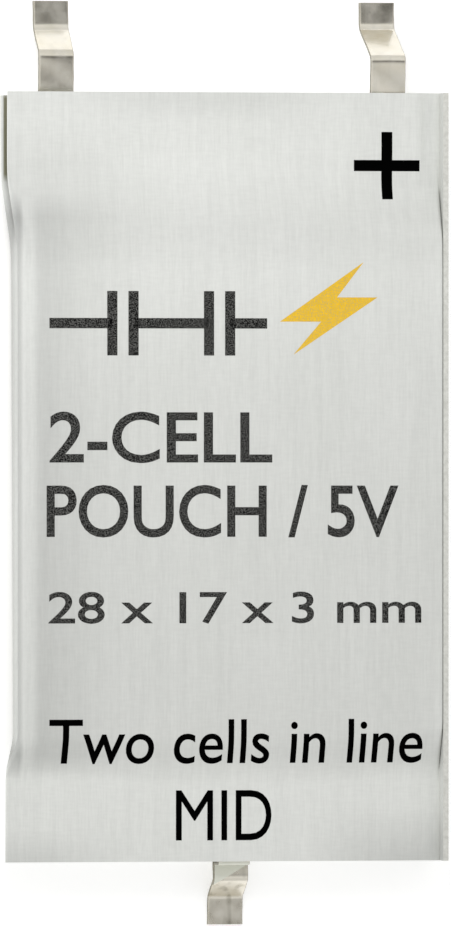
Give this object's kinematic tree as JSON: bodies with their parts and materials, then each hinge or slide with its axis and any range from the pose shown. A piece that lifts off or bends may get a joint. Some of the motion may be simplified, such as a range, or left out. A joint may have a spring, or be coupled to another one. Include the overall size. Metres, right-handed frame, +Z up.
{
  "type": "dual-cell pouch supercapacitor",
  "caption": "Thin flat rectangular energy storage cell: stacked aluminium laminate pouches in series, with gull-wing solder terminals at both ends for surface mounting.",
  "frame": {"origin": "middle of the flat underside of the lower pouch, in the plane of the circuit board that the solder feet also lie in", "axes": "+Y along the body's length to the end with two terminals, +X across the width to the positive terminal, +Z up, away from the board, to the printed face"},
  "size_m": [0.0166, 0.0343, 0.0027],
  "materials": {
    "laminate": "satin aluminium laminate with a fine rolling grain",
    "nickel": "bright nickel-plated strip, slightly warm, with fine drawing lines",
    "aluminium_tab": "dull rolled aluminium strip",
    "aluminium_foil": "bright thin foil",
    "carbon": "matt black porous carbon coating",
    "separator": "matt white porous paper",
    "sealing_film": "pale polypropylene sealing film",
    "bonding_tape": "thin double-sided adhesive tape",
    "ink": "matt black printing ink",
    "accent_ink": "matt amber printing ink"
  },
  "bodies": {
    "root": {"lower_cell_pouch_film": "laminate", "lower_cell_separator": "separator", "lower_cell_negative_foil_1": "aluminium_foil", "lower_cell_negative_foil_1_top_coating": "carbon", "lower_cell_negative_foil_1_bottom_coating": "carbon", "lower_cell_positive_foil_1": "aluminium_foil", "lower_cell_positive_foil_1_top_coating": "carbon", "lower_cell_positive_foil_1_bottom_coating": "carbon", "lower_cell_negative_foil_2": "aluminium_foil", "lower_cell_negative_foil_2_top_coating": "carbon", "lower_cell_negative_foil_2_bottom_coating": "carbon", "lower_cell_positive_foil_2": "aluminium_foil", "lower_cell_positive_foil_2_top_coating": "carbon", "lower_cell_positive_foil_2_bottom_coating": "carbon", "lower_cell_negative_seal_strip_top": "sealing_film", "lower_cell_negative_seal_strip_bottom": "sealing_film", "lower_cell_positive_seal_strip_top": "sealing_film", "lower_cell_positive_seal_strip_bottom": "sealing_film", "upper_cell_pouch_film": "laminate", "upper_cell_separator": "separator", "upper_cell_positive_foil_1": "aluminium_foil", "upper_cell_positive_foil_1_top_coating": "carbon", "upper_cell_positive_foil_1_bottom_coating": "carbon", "upper_cell_negative_foil_1": "aluminium_foil", "upper_cell_negative_foil_1_top_coating": "carbon", "upper_cell_negative_foil_1_bottom_coating": "carbon", "upper_cell_positive_foil_2": "aluminium_foil", "upper_cell_positive_foil_2_top_coating": "carbon", "upper_cell_positive_foil_2_bottom_coating": "carbon", "upper_cell_negative_foil_2": "aluminium_foil", "upper_cell_negative_foil_2_top_coating": "carbon", "upper_cell_negative_foil_2_bottom_coating": "carbon", "upper_cell_negative_seal_strip_top": "sealing_film", "upper_cell_negative_seal_strip_bottom": "sealing_film", "upper_cell_positive_seal_strip_top": "sealing_film", "upper_cell_positive_seal_strip_bottom": "sealing_film", "bonding_tape": "bonding_tape", "negative_terminal": "nickel", "positive_terminal": "nickel", "middle_terminal": "nickel", "joining_tab": "aluminium_tab"}
  },
  "joints": []
}
